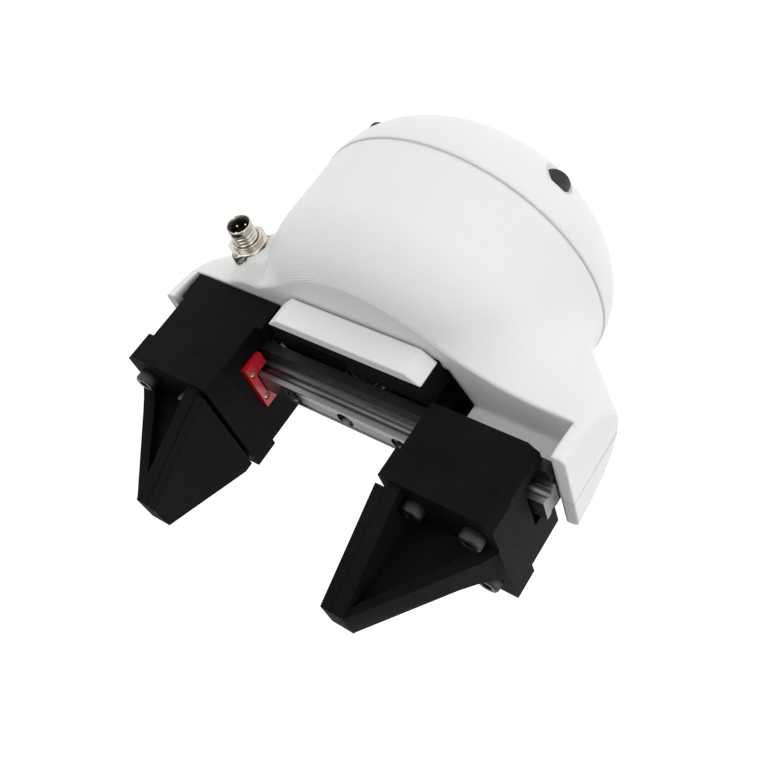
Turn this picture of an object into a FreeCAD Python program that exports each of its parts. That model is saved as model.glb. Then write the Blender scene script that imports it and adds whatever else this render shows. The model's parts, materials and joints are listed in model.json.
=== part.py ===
"""Two-jaw parallel gripper with a domed printed housing, a miniature rail and a rack-and-pinion drive.

Frame: millimetres. The origin is the centre of the mounting face, +Z points to the finger tips,
X runs along the guide rail and +Y is the side with the round connector.
Heights in the sheet are counted from the rail's seat, which lies rail_seat above the mounting face.
"""
import FreeCAD, Part
import Sketcher
import math
import os
import re

V = FreeCAD.Vector
doc = FreeCAD.newDocument("parallel_gripper")
sheet = doc.addObject("Spreadsheet::Sheet", "Dims")
values = {}
pieces = []


# ---------------------------------------------------------------- driving dimensions
def dim(alias, value):
    """Put one driving dimension in the sheet under its alias."""
    row = len(values) + 1
    sheet.set("A%d" % row, alias)
    sheet.set("B%d" % row, repr(value))
    sheet.setAlias("B%d" % row, alias)
    values[alias] = value


def fill_sheet():
    """The driving dimensions, in millimetres."""
    dim("rail_seat", 87.0)          # mounting face to rail seat
    dim("seam_depth", 58.4)         # rail seat to the seam between housing and rear cap
    dim("dome_radius", 51.0)
    dim("dome_mid", 34.0)           # depth where the front rounding starts
    dim("cap_bulge", 36.0)          # depth of the rear cap's full ellipse
    dim("wall", 2.6)
    dim("front_depth", 12.5)        # rail seat to the recess wall
    dim("wing_half", 71.6)
    dim("wing_rise", 18.5)          # half thickness of the wings
    dim("wing_reach", 26.8)         # how far the wings reach back at their ends
    dim("wing_round", 2.4)          # rounding of the wings' end edges
    dim("cheek_inner", 67.7)
    dim("rim_depth", 0.5)
    dim("seam_low", 5.0)            # the wing covers start this far below the rail's middle
    dim("cover_start", 51.5)        # and this far out from the middle
    dim("shelf_start", 34.7)        # inner end of the shelves in the recess
    dim("window_wide", 34.7)        # half width of the drive window at window_corner
    dim("window_corner", 3.6)
    dim("window_narrow", 29.5)      # half width at the top and bottom edges
    dim("window_rise", 18.4)
    dim("rail_length", 135.0)
    dim("rail_width", 9.0)
    dim("rail_height", 6.5)
    dim("rail_pitch", 20.0)
    dim("beam_width", 19.0)
    dim("beam_depth", 3.5)
    dim("beam_length", 133.0)
    dim("jaw_length", 33.0)
    dim("jaw_top", 17.7)
    dim("jaw_low", 24.9)
    dim("jaw_back", 2.2)
    dim("jaw_rise", 14.2)
    dim("jaw_chamfer", 3.0)
    dim("channel_half", 10.4)
    dim("carriage_top", 10.0)
    dim("slot_rise", 7.4)
    dim("left_inner", -34.4)        # inner faces of the jaws in the open position
    dim("right_inner", 30.3)
    dim("pitch_radius", 8.0)
    dim("gear_module", 1.0)
    dim("rack_front", 4.6)
    dim("rack_face", 6.8)
    dim("rack_back", 12.2)
    dim("rack_tip", 37.0)
    dim("collar_rise", 9.3)
    dim("finger_rise", 58.0)
    dim("plate_thick", 4.1)
    dim("pad_thick", 3.5)
    dim("pad_proud", 1.0)
    dim("blend_radius", 26.0)       # hollow corner between dome and wings
    dim("blend_depth", 100.0)       # the blend is worked out on a longer drum, then trimmed at the seam
    dim("connector_x", -50.0)
    dim("connector_depth", 23.8)
    dim("connector_base", 24.3)     # underside of the panel nut
    dim("mound_radius", 21.0)       # the surface rises beside the connector, towards the dome
    dim("mound_top_radius", 5.0)
    dim("mound_low", 12.5)
    dim("mound_height", 14.5)
    dim("mound_shift", 7.0)
    dim("nut_radius", 7.0)
    dim("nut_thick", 3.0)
    dim("collar_radius", 4.9)       # round collar on the outer face of the panel nut
    dim("collar_thick", 1.5)
    dim("gasket_radius", 6.6)
    dim("gasket_thick", 2.2)
    dim("thread_radius", 4.0)       # M8 thread of the barrel
    dim("barrel_bore_radius", 3.5)
    dim("barrel_inside", 9.5)       # barrel behind and in front of the nut's underside
    dim("barrel_outside", 10.7)
    dim("groove_width", 1.0)        # relief groove of the thread, in front of the nut's collar
    dim("groove_radius", 3.8)
    dim("pin_ring", 2.0)
    dim("pin_radius", 0.5)
    dim("pin_recess", 1.8)
    dim("sleeve_recess", 0.9)       # the insert's sleeve ends just below the barrel's rim
    dim("sleeve_wall", 0.5)
    dim("cup_depth", 4.5)
    dim("cover_gap", 0.15)          # seam between a wing and its lower cover
    dim("flange_radius", 31.5)
    dim("flange_thick", 6.0)
    dim("bolt_circle", 50.0)
    dim("bolt_radius", 3.2)
    dim("pilot_radius", 15.75)
    dim("pilot_depth", 2.5)
    dim("screw_inset", 6.5)         # flange edge to the flange screws
    dim("cap_screw_radius", 44.0)
    dim("cap_seat_depth", 70.8)     # under the rail's seat, where the cap screws' heads bear
    dim("motor_bolt_ring", 19.0)
    dim("frame_screw_ring", 34.65)
    dim("bell_radius", 30.0)
    dim("board_radius", 37.2)
    dim("board_screw_ring", 34.0)
    dim("shaft_radius", 3.0)
    dim("shaft_play", 0.03)
    doc.recompute()


def num(alias):
    """A driving dimension read back from the sheet."""
    return float(sheet.get(alias))


def bind(obj, prop, text):
    """Bind a property to an expression whose words are sheet aliases."""
    if isinstance(text, (int, float)):
        text = repr(float(text))
    def prefixed(found):
        word = found.group(0)
        return "Dims." + word if word in values else word
    obj.setExpression(prop, re.sub(r"[a-z][a-z_]*[a-z]", prefixed, text))


def place(obj, at):
    """Bind an object's position to three expressions."""
    for axis, text in zip("xyz", at):
        bind(obj, "Placement.Base." + axis, text)


# ---------------------------------------------------------------- primitives
def box(name, size, at):
    """A box from its low corner."""
    obj = doc.addObject("Part::Box", name)
    for prop, text in zip(("Length", "Width", "Height"), size):
        bind(obj, prop, text)
    place(obj, at)
    return obj


TURNS = {"z": FreeCAD.Rotation(),
         "x": FreeCAD.Rotation(V(0, 1, 0), 90),
         "y": FreeCAD.Rotation(V(1, 0, 0), -90)}


def cyl(name, radius, height, at, axis="z"):
    """A cylinder from the centre of its first end, along +x, +y or +z."""
    obj = doc.addObject("Part::Cylinder", name)
    bind(obj, "Radius", radius)
    bind(obj, "Height", height)
    obj.Placement = FreeCAD.Placement(V(), TURNS[axis])
    place(obj, at)
    return obj


def cone(name, radius, top_radius, height, at, axis="z"):
    """A truncated cone from the centre of its wide end, along +x, +y or +z."""
    obj = doc.addObject("Part::Cone", name)
    bind(obj, "Radius1", radius)
    bind(obj, "Radius2", top_radius)
    bind(obj, "Height", height)
    obj.Placement = FreeCAD.Placement(V(), TURNS[axis])
    place(obj, at)
    return obj


def hexagon(name, flats_radius, height, at, axis="z"):
    """A six-sided prism from its circumradius."""
    obj = doc.addObject("Part::Prism", name)
    obj.Polygon = 6
    bind(obj, "Circumradius", flats_radius)
    bind(obj, "Height", height)
    obj.Placement = FreeCAD.Placement(V(), TURNS[axis])
    place(obj, at)
    return obj


def ellipsoid(name, rise, across, centre_z, front_only=False):
    """An ellipsoid of revolution about the Z axis, cut at its middle when only its front is wanted."""
    obj = doc.addObject("Part::Ellipsoid", name)
    obj.Angle1 = 0 if front_only else -90
    obj.Angle2 = 90
    bind(obj, "Radius1", rise)
    bind(obj, "Radius2", across)
    bind(obj, "Radius3", across)
    place(obj, (0, 0, centre_z))
    return obj


def fuse(name, *shapes):
    """Several shapes as one."""
    obj = doc.addObject("Part::MultiFuse", name)
    obj.Shapes = list(shapes)
    obj.Refine = True
    return obj


def cut(name, base, *tools):
    """A base with one or more tools taken out."""
    obj = doc.addObject("Part::Cut", name)
    obj.Base = base
    obj.Tool = tools[0] if len(tools) == 1 else fuse(name + "_tools", *tools)
    obj.Refine = True
    return obj


def common(name, one, other):
    """The space two shapes share."""
    obj = doc.addObject("Part::Common", name)
    obj.Base = one
    obj.Tool = other
    obj.Refine = True
    return obj


def solid(name, shape):
    """A piece whose shape comes from Part's own functions."""
    obj = doc.addObject("Part::Feature", name)
    obj.Shape = shape
    return obj


def group(name, shapes):
    """Identical separate solids that share one node."""
    obj = doc.addObject("Part::Compound", name)
    obj.Links = shapes
    return obj


def keep(node, obj):
    """Name a finished piece; its label is the name of its file."""
    obj.Label = node
    pieces.append(obj)
    return obj


# ---------------------------------------------------------------- sketches
def polygon_pad(name, role, points, thickness, midplane=True, offset=None):
    """A body with one padded polygon whose corners are bound to the sheet."""
    body = doc.addObject("PartDesign::Body", name)
    sketch = body.newObject("Sketcher::SketchObject", name + "_outline")
    plane = [f for f in body.Origin.OriginFeatures if f.Role == role][0]
    sketch.AttachmentSupport = [(plane, "")]
    sketch.MapMode = "FlatFace"
    corners = [V(evaluate(a), evaluate(b), 0) for a, b in points]
    count = len(corners)
    for i in range(count):
        sketch.addGeometry(Part.LineSegment(corners[i], corners[(i + 1) % count]), False)
    for i in range(count):
        sketch.addConstraint(Sketcher.Constraint("Coincident", i, 2, (i + 1) % count, 1))
    for i, (a, b) in enumerate(points):
        for kind, text in (("DistanceX", a), ("DistanceY", b)):
            at = sketch.addConstraint(Sketcher.Constraint(kind, -1, 1, i, 1, evaluate(text)))
            bind(sketch, "Constraints[%d]" % at, text)
    if offset is not None:
        bind(sketch, "AttachmentOffset.Base.z", offset)
    pad = body.newObject("PartDesign::Pad", name + "_pad")
    pad.Profile = sketch
    pad.Midplane = midplane
    bind(pad, "Length", thickness)
    body.Tip = pad
    return body


def evaluate(text):
    """The number that an expression of sheet aliases gives."""
    if isinstance(text, (int, float)):
        return float(text)
    total = 0.0
    for sign, term in re.findall(r"([+-]?)\s*([a-z_0-9.*/]+)", text):
        product = 1.0
        for mark, factor in re.findall(r"([*/]?)([a-z_0-9.]+)", term):
            number = num(factor) if factor in values else float(factor)
            product = product / number if mark == "/" else product * number
        total += -product if sign == "-" else product
    return total


# ---------------------------------------------------------------- housing
def wing_section(name, x, reach, inset):
    """The elliptical cross-section of a wing at one X, its long axis pointing back."""
    ellipse = doc.addObject("Part::Ellipse", name)
    bind(ellipse, "MajorRadius", "%s - %s" % (reach, inset))
    bind(ellipse, "MinorRadius", "wing_rise - %s" % inset)
    ellipse.Placement = FreeCAD.Placement(V(), FreeCAD.Rotation(V(0, 1, 0), -90))
    place(ellipse, (x, 0, "rail_seat - rim_depth"))
    return ellipse


def wings(name, inset):
    """Both wings, reduced all round by an inset: they deepen at 45 degrees from their ends to the middle."""
    halves = []
    for side, end in (("left", "-wing_half + " + inset), ("right", "wing_half - " + inset)):
        half = doc.addObject("Part::Loft", "%s_%s" % (name, side))
        half.Sections = [wing_section("%s_%s_root" % (name, side), 0, "wing_reach + wing_half", inset),
                         wing_section("%s_%s_end" % (name, side), end, "wing_reach", inset)]
        half.Solid = True
        half.Ruled = True
        halves.append(half)
    return fuse(name, *halves)


def dome(name, shrink, rise):
    """The front dome: a long drum with an elliptical front, reduced all round."""
    drum = cyl(name + "_drum", "dome_radius - " + shrink, "blend_depth - dome_mid",
               (0, 0, "rail_seat - blend_depth"))
    front = ellipsoid(name + "_front", rise, "dome_radius - " + shrink, "rail_seat - dome_mid", True)
    return fuse(name, drum, front)


def ring_places(ring, first_angle, low):
    """Four places on a ring, a quarter turn apart, as expressions."""
    angles = [math.radians(first_angle + 90 * i) for i in range(4)]
    return [("%.6f*(%s)" % (math.cos(a), ring), "%.6f*(%s)" % (math.sin(a), ring), low) for a in angles]


def corner_cyls(name, ring, radius, height, low):
    """Four cylinders at 45 degrees on a ring."""
    return ring_cyls(name, ring_places(ring, 45, low), radius, height)


def ring_cyls(name, places, radius, height):
    """One cylinder at each of a list of places."""
    return [cyl("%s_%d" % (name, i + 1), radius, height, at) for i, at in enumerate(places)]


def blend_edges(shape):
    """The edges where a wing meets the dome behind the recess wall."""
    found = []
    front = num("rail_seat") - num("front_depth") - 0.2
    for i, edge in enumerate(shape.Edges):
        low, high = edge.FirstParameter, edge.LastParameter
        points = [edge.valueAt(low + (high - low) * share) for share in (0.2, 0.5, 0.8)]
        at_root = all(25 < abs(p.x) < 60 and p.z < front for p in points)
        if at_root and edge.Curve.TypeId != "Part::GeomLine":
            found.append(i + 1)
    return found


def end_edges(shape):
    """The curved edges at the wings' ends."""
    found = []
    for i, edge in enumerate(shape.Edges):
        at_end = abs(abs(edge.CenterOfMass.x) - num("wing_half")) < 0.01
        if at_end and edge.Curve.TypeId != "Part::GeomLine":
            found.append(i + 1)
    return found


def rounded(name, base, pick, radius):
    """A base with one radius on the edges that a picking function finds."""
    doc.recompute()
    made = doc.addObject("Part::Fillet", name)
    made.Base = base
    made.Edges = [(i, radius, radius) for i in pick(base.Shape)]
    return made


def side_box(name, side, start, across, size_y, low, height):
    """A box on one side: from an X distance out to past the wing's end."""
    length = "wing_half - (%s) + 2" % start
    x = start if side == "right" else "-wing_half - 2"
    return box(name, (length, size_y, height), (x, across, low))


def window_outline(inset):
    """The eight corners of the window in the recess wall, drawn in by an inset."""
    corners = []
    def signed(sign, alias):
        return "%s - %.2f" % (alias, inset) if sign > 0 else "%.2f - %s" % (inset, alias)
    for sx, sy in ((1, 1), (1, -1), (-1, -1), (-1, 1)):
        narrow = (signed(sx, "window_narrow"), signed(sy, "window_rise"))
        wide = (signed(sx, "window_wide"), signed(sy, "window_corner"))
        corners += [narrow, wide] if sx == sy else [wide, narrow]
    return corners


def make_skin():
    """The housing and its wings as one skin with the recess, the drive window and the connector hole."""
    size = ("wing_half*2 + 20", 140, "blend_depth")
    low_corner = "-wing_half - 10"
    behind = box("behind_wall", size, (low_corner, -70, "rail_seat - front_depth - blend_depth"))
    rear = fuse("rear_mass", common("dome_trimmed", dome("dome_skin", "0.001", "dome_mid"), behind),
                common("wings_trimmed", wings("wing_skin", "0"), behind))
    blended = rounded("blended_mass", rear, blend_edges, num("blend_radius"))
    ended = rounded("ended_mass", blended, end_edges, num("wing_round"))
    boss = cyl("connector_boss", "gasket_radius", "connector_base - gasket_thick",
               ("connector_x", 0, "rail_seat - connector_depth"), "y")
    centre = ("connector_x + mound_shift", "mound_low", "rail_seat - connector_depth + 1")
    mound = common("connector_mound", behind,
                   cone("mound_cone", "mound_radius", "mound_top_radius", "mound_height", centre, "y"))
    full_wings = rounded("cheek_wings", wings("cheek_wing", "0"), end_edges, num("wing_round"))
    spaces = [side_box("cheek_space_" + side, side, "cheek_inner", -30, 60, "rail_seat - front_depth", 20)
              for side in ("left", "right")]
    cheeks = common("cheeks", full_wings, fuse("cheek_spaces", *spaces))
    body = fuse("housing_mass", ended, cheeks, boss, mound)
    front_cut = box("front_trim", size, (low_corner, -70, "rail_seat - rim_depth"))
    rear_cut = box("rear_trim", size, (low_corner, -70, "rail_seat - seam_depth - blend_depth"))
    hollow = dome("dome_hollow", "wall", "dome_mid - wall")
    keep_wall = box("inside_limit", size, (low_corner, -70, "rail_seat - front_depth - wall - blend_depth"))
    inside = common("inside_space", fuse("inside", hollow, wings("wing_hollow", "wall")), keep_wall)
    window = polygon_pad("drive_window", "XY_Plane", window_outline(0), 8, False,
                         "rail_seat - front_depth - 5")
    depth = "rail_seat - connector_depth"
    bore = cyl("connector_bore", 5.3, 30, ("connector_x", "connector_base - 25", depth), "y")
    nut_space = hexagon("nut_space", "nut_radius + 0.15", 20, ("connector_x", "connector_base", depth), "y")
    seal_space = cyl("seal_space", "gasket_radius + 0.1", 20,
                     ("connector_x", "connector_base - gasket_thick", depth), "y")
    return cut("housing_skin", body, front_cut, rear_cut, inside, window, bore, nut_space, seal_space)


def make_housing():
    """White housing with its screw pillars and recess shelves, and the wings' lower covers."""
    skin = make_skin()
    shell = cut("housing_shell", skin, cover_box("cover_space_left", "left", 0),
                cover_box("cover_space_right", "right", 0))
    pillars = corner_cyls("pillar", "cap_screw_radius", 5.6, 12, "rail_seat - seam_depth")
    trimmed = common("pillar_trim", fuse("pillars", *pillars), dome("pillar_limit", "0.5", "dome_mid - 1"))
    sleeves = corner_cyls("insert_hole", "cap_screw_radius", 3.3, 9, "rail_seat - seam_depth - 0.5")
    shelves = []
    for side, start in (("left", "-cheek_inner"), ("right", "shelf_start")):
        size = ("cheek_inner - shelf_start", 2.5, "front_depth + 1 - beam_depth")
        shelves.append(box("shelf_" + side, size, (start, 1.1, "rail_seat - front_depth - 1")))
    whole = fuse("housing_whole", shell, trimmed, *shelves)
    keep("dome_housing", cut("dome_housing_body", whole, *sleeves))
    for side in ("left", "right"):
        part = common("%s_wing_cover_body" % side, skin, cover_box("%s_cover_part" % side, side, "cover_gap"))
        keep("%s_wing_cover" % side, part)


def cover_box(name, side, gap):
    """The space of a wing's lower cover, outside the dome and below the seam; gap draws it back."""
    start = "cover_start + %s" % gap
    return side_box(name, side, start, "-seam_low - 30 - %s" % gap, 30, "rail_seat - 60", 60)


def make_rear_cap():
    """White rear cap: the dome's back, open at the flange, with four deep screw pockets."""
    seat = "rail_seat - seam_depth"
    outer = ellipsoid("cap_skin", "cap_bulge", "dome_radius + 0.2", seat)
    inner = ellipsoid("cap_hollow", "cap_bulge - wall", "dome_radius + 0.2 - wall", seat)
    below = cyl("cap_range", 60, "rail_seat - seam_depth - 0.15", (0, 0, 0))
    slab = common("cap_outer", outer, below)
    room = cut("cap_room", inner, cyl("cap_floor", 60, "flange_thick + 2.5", (0, 0, -1)))
    shell = cut("cap_shell", slab, room)
    pillars = corner_cyls("cap_pillar", "cap_screw_radius", 6.6, 30, "rail_seat - seam_depth - 30.15")
    pillars = common("cap_pillars", fuse("cap_pillar_set", *pillars), common("cap_pillar_zone", outer, below))
    whole = fuse("cap_whole", shell, pillars)
    tools = corner_cyls("cap_pocket", "cap_screw_radius", 4.7, 60, "rail_seat - cap_seat_depth - 60")
    tools += corner_cyls("cap_through", "cap_screw_radius", 2.75, 34, "rail_seat - cap_seat_depth - 1")
    tools.append(cyl("flange_seat", "flange_radius - 2.4", "flange_thick + 1", (0, 0, -1)))
    tools.append(cyl("flange_window", 20, 30, (0, 0, -1)))
    tools += ring_cyls("cap_flange_hole", ring_places("flange_radius - screw_inset", 0, 0), 1.6, 12)
    tools += corner_cyls("bolt_access", "bolt_circle/2", 5.5, 6, "flange_thick - 1")
    keep("rear_cap", cut("rear_cap_body", whole, *tools))


def make_flange():
    """Aluminium mounting flange with the pilot recess, four bolt holes and its own four screws."""
    disc = cyl("flange_disc", "flange_radius - 2.5", "flange_thick", (0, 0, 0))
    tools = [cyl("pilot_recess", "pilot_radius", "pilot_depth", (0, 0, 0)),
             cyl("flange_bore", 9, 20, (0, 0, -1))]
    tools += ring_cyls("flange_bolt", ring_places("bolt_circle/2", 45, -1), "bolt_radius", 20)
    screw_ring = "flange_radius - screw_inset"
    tools += ring_cyls("flange_tap", ring_places(screw_ring, 0, 2), 1.25, 10)
    keep("mounting_flange", cut("mounting_flange_body", disc, *tools))
    screws = []
    for i, at in enumerate(ring_places(screw_ring, 0, "flange_thick + 2.5")):
        screws.append(cap_screw("flange_screw_%d" % (i + 1), 1.25, 5.9, 2.75, 3.0, 1.4, at, "up"))
    keep("flange_screws", group("flange_screw_set", screws))


def cap_screw(name, thread, length, head, head_rise, socket, at, way="down", axis="z"):
    """A socket cap screw; at is the underside of its head, way says which side the head is on."""
    x, y, z = at
    low = {"up": 0.0, "down": head_rise}[way]
    axis_index = "xyz".index(axis)

    def along(amount):
        moved = [x, y, z]
        moved[axis_index] = "%s + %.4f" % (moved[axis_index], amount)
        return tuple(moved)
    head_at = along(-low)
    shank_at = along(-length if way == "up" else 0.0)
    hex_at = along(head_rise * 0.45 if way == "up" else -head_rise - 0.01)
    body = fuse(name + "_mass", cyl(name + "_head", head, head_rise, head_at, axis),
                cyl(name + "_shank", thread, length, shank_at, axis))
    return cut(name, body, hexagon(name + "_socket", socket, head_rise * 0.55 + 0.01, hex_at, axis))


def make_cap_screws():
    """Four screws that hold the rear cap, and the brass inserts they turn into."""
    screws = []
    inserts = []
    for i, (x, y, seat) in enumerate(ring_places("cap_screw_radius", 45, "rail_seat - cap_seat_depth")):
        screws.append(cap_screw("cap_screw_%d" % (i + 1), 2.5, 18, 4.25, 5, 2.3, (x, y, seat)))
        sleeve = cyl("insert_ring_%d" % (i + 1), 3.3, 8, (x, y, "rail_seat - seam_depth"))
        hole = cyl("insert_bore_%d" % (i + 1), 2.5, 10, (x, y, "rail_seat - seam_depth - 1"))
        inserts.append(cut("insert_%d" % (i + 1), sleeve, hole))
    keep("cap_screws", group("cap_screw_set", screws))
    keep("threaded_inserts", group("insert_set", inserts))


# ---------------------------------------------------------------- nose, frame and rail
def make_nose():
    """White nose cap with sloped ends over the black nose block that bridges the upper rack."""
    points = [(-27.6, 22.0), (27.6, 22.0), (23.1, 26.0), (-23.1, 26.0)]
    cap = polygon_pad("nose_cap_body", "XY_Plane", points, 9.0, False, "rail_seat - 11.7")
    keep("nose_cap", cap)
    outline = [(0.2, 12.8), (28.6, 12.8), (27.6, 22.0), (-27.6, 22.0), (-26.4, 18.3), (0.2, 18.3)]
    block = polygon_pad("nose_block_body", "XY_Plane", outline, 9.8, False, "rail_seat - front_depth")
    keep("nose_block", block)


def make_frame():
    """Black drive frame: a disc behind the recess wall, a bearing boss and posts for the rail beam."""
    disc = cyl("frame_disc", 37.4, 3.4, (0, 0, "rail_seat - front_depth - wall - 3.4"))
    neck = polygon_pad("frame_neck", "XY_Plane", window_outline(0.4), 6.0, False,
                       "rail_seat - front_depth - wall - 3.4")
    parts = [disc, neck]
    for i, x in enumerate((-29, 13)):
        parts.append(box("frame_post_%d" % (i + 1), (16, 11.4, "front_depth + wall + 3 - beam_depth"),
                         (x, -5.7, "rail_seat - front_depth - wall - 3")))
    body = fuse("frame_mass", *parts)
    bearing_seat = cyl("bearing_seat", 8, 5, (0, 0, "rail_seat - 17.1"))
    shaft_way = cyl("shaft_way", 4.5, 20, (0, 0, "rail_seat - 25"))
    ways = ring_cyls("motor_bolt_way", ring_places("motor_bolt_ring", 0, "rail_seat - 22"), 1.6, 6.6)
    ways += ring_cyls("frame_screw_way", ring_places("frame_screw_ring", 45, "rail_seat - 25"), 1.7, 12)
    keep("drive_frame", cut("drive_frame_body", body, bearing_seat, shaft_way, *ways))


def rail_x():
    """Positions of the rail's seven holes."""
    return [num("rail_pitch") * i for i in range(-3, 4)]


def make_rail():
    """Ground steel profile rail with side grooves and counterbored holes, on its beam."""
    half = "rail_width/2"
    outline = [("-" + half, 0), (half, 0), (half, 2.0), (half + " - 1.1", 2.8), (half + " - 1.1", 3.9),
               (half, 4.7), (half, "rail_height"), ("-" + half, "rail_height"), ("-" + half, 4.7),
               ("-" + half + " + 1.1", 3.9), ("-" + half + " + 1.1", 2.8), ("-" + half, 2.0)]
    body = polygon_pad("guide_rail_profile", "YZ_Plane", outline, "rail_length")
    place(body, (0, 0, "rail_seat"))
    tools = []
    for i, x in enumerate(rail_x()):
        tools.append(cyl("rail_hole_%d" % (i + 1), 1.75, 8, (x, 0, "rail_seat - 1")))
        tools.append(cyl("rail_sink_%d" % (i + 1), 3.0, 4, (x, 0, "rail_seat + rail_height - 3.5")))
    keep("guide_rail", cut("guide_rail_body", body, *tools))
    beam = box("beam_blank", ("beam_length", "beam_width", "beam_depth"),
               ("-beam_length/2", "-beam_width/2", "rail_seat - beam_depth"))
    taps = [cyl("beam_tap_%d" % (i + 1), 1.5, 8, (x, 0, "rail_seat - 6")) for i, x in enumerate(rail_x())]
    taps.append(cyl("beam_shaft_seat", 4.0, 2.6, (0, 0, "rail_seat - beam_depth - 0.1")))
    rounded = doc.addObject("Part::Fillet", "beam_rounded")
    rounded.Base = beam
    doc.recompute()
    upright = [i + 1 for i, e in enumerate(beam.Shape.Edges) if abs(e.tangentAt(e.FirstParameter).z) > 0.99]
    rounded.Edges = [(i, 2.5, 2.5) for i in upright]
    keep("rail_beam", cut("rail_beam_body", rounded, *taps))
    screws = []
    for i, x in enumerate(rail_x()):
        if x != 0:
            screws.append(cap_screw("rail_screw_%d" % (i + 1), 1.5, 6.4, 2.75, 3.0, 1.4,
                                    (x, 0, "rail_seat + rail_height - 3.5"), "up"))
    keep("rail_screws", group("rail_screw_set", screws))


# ---------------------------------------------------------------- motor and electronics
def ring(name, outer, inner, height, at):
    """A plain ring."""
    x, y, z = at
    hole = cyl(name + "_inner", inner, "%s + 2" % height, (x, y, "%s - 1" % z))
    return cut(name, cyl(name + "_outer", outer, height, at), hole)


def gear_shape(teeth, module, height, bore):
    """A spur gear with straight-sided teeth, one tooth space on the +Y axis."""
    outer = module * (teeth / 2.0 + 0.95)
    root = module * (teeth / 2.0 - 1.25)
    pitch = module * teeth / 2.0
    points = []
    for i in range(teeth):
        middle = 2 * math.pi * (i + 0.5) / teeth + math.pi / 2
        flank = ((root, -0.30), (pitch, -0.235), (outer, -0.11), (outer, 0.11), (pitch, 0.235), (root, 0.30))
        for radius, share in flank:
            angle = middle + share * 2 * math.pi / teeth
            points.append(V(radius * math.cos(angle), radius * math.sin(angle), 0))
    points.append(points[0])
    blank = Part.Face(Part.makePolygon(points)).extrude(V(0, 0, height))
    return blank.cut(Part.makeCylinder(bore, height + 2, V(0, 0, -1)))


def rack_shape(first, last, module, depth, height, phase):
    """A straight rack along X with its teeth towards -Y, its pitch line on Y = 0."""
    pitch = math.pi * module
    tip = -0.95 * module
    root = 1.25 * module
    points = [V(first, depth, 0), V(first, root, 0)]
    index = math.ceil((first - phase) / pitch + 0.5)
    while phase + (index + 0.5) * pitch < last - 0.1:
        middle = phase + index * pitch
        points += [V(middle - 0.36 * pitch, root, 0), V(middle - 0.125 * pitch, tip, 0),
                   V(middle + 0.125 * pitch, tip, 0), V(middle + 0.36 * pitch, root, 0)]
        index += 1
    points += [V(last, root, 0), V(last, depth, 0), V(first, depth, 0)]
    return Part.Face(Part.makePolygon(points)).extrude(V(0, 0, height))


def make_drive():
    """Direct-drive motor in the dome: fixed stator on the frame, outer rotor, shaft and pinion."""
    base_z = "rail_seat - 21.5"
    flange = ring("motor_base_disc", 24, 8.2, 3.0, (0, 0, base_z))
    tube = ring("motor_base_tube", 8.4, 6.55, 24, (0, 0, "rail_seat - 45.5"))
    holes = ring_cyls("motor_base_hole", ring_places("motor_bolt_ring", 0, "rail_seat - 25"), 1.5, 10)
    bolts = []
    for i, at in enumerate(ring_places("motor_bolt_ring", 0, base_z)):
        bolts.append(cap_screw("motor_bolt_%d" % (i + 1), 1.5, 5.6, 2.75, 2.4, 1.4, at, "down"))
    keep("motor_base", cut("motor_base_body", fuse("motor_base_mass", flange, tube), *holes))
    keep("motor_bolts", group("motor_bolt_set", bolts))
    stator_low = "rail_seat - 42.5"
    eye = cyl("stator_eye", 8.4, 40, (0, 0, "rail_seat - 60"))
    keep("stator_core", cut("stator_core_body", stator_star(stator_low), eye))
    keep("stator_coils", group("stator_coil_set", stator_coils(stator_low)))
    bore = "shaft_radius + shaft_play"
    keep("front_bearing", ring("front_bearing_body", 8.0, bore, 4.6, (0, 0, "rail_seat - 16.9")))
    keep("rear_bearing", ring("rear_bearing_body", 6.55, bore, 5, (0, 0, "rail_seat - 45")))
    bell_wall = ring("bell_wall", "bell_radius", "bell_radius - 1.6", 17.6, (0, 0, "rail_seat - 43.6"))
    bell_back = ring("bell_back", "bell_radius", 3.0, 2.4, (0, 0, "rail_seat - 48.4"))
    bell_side = ring("bell_side", "bell_radius", "bell_radius - 1.6", 3, (0, 0, "rail_seat - 46.2"))
    windows = []
    for i in range(6):
        angle = math.radians(60 * i)
        at = ("%.4f" % (18 * math.cos(angle)), "%.4f" % (18 * math.sin(angle)), "rail_seat - 50")
        windows.append(cyl("bell_window_%d" % (i + 1), 4.5, 5, at))
    keep("rotor_bell", cut("rotor_bell_body", fuse("bell_mass", bell_wall, bell_side, bell_back), *windows))
    magnets = ring("magnet_ring", "bell_radius - 1.6", "bell_radius - 3.6", 13, (0, 0, "rail_seat - 42"))
    keep("rotor_magnets", magnets)
    keep("drive_shaft", cyl("drive_shaft_body", "shaft_radius", 47.6, (0, 0, "rail_seat - 51.6")))
    keep("encoder_magnet", cyl("encoder_magnet_body", 3.0, 2.5, (0, 0, "rail_seat - 54.1")))
    teeth = int(round(2 * num("pitch_radius") / num("gear_module")))
    gear = gear_shape(teeth, num("gear_module"), num("rack_face"), 3.0)
    pinion = solid("drive_pinion_body", gear)
    place(pinion, (0, 0, "rail_seat - rack_front - rack_face"))
    keep("drive_pinion", pinion)


def stator_star(low):
    """Laminated core: a hub with twelve arms."""
    parts = [cyl("core_hub", 12.5, 13, (0, 0, low))]
    for i in range(12):
        arm = Part.makeBox(11.4, 3.0, 13, V(12, -1.5, 0))
        shoe = Part.makeBox(1.8, 10.4, 13, V(23.0, -5.2, 0))
        piece = arm.fuse(shoe)
        piece.rotate(V(), V(0, 0, 1), 30 * i)
        tooth = solid("core_arm_%d" % (i + 1), piece)
        place(tooth, (0, 0, low))
        parts.append(tooth)
    return fuse("core_star", *parts)


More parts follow.
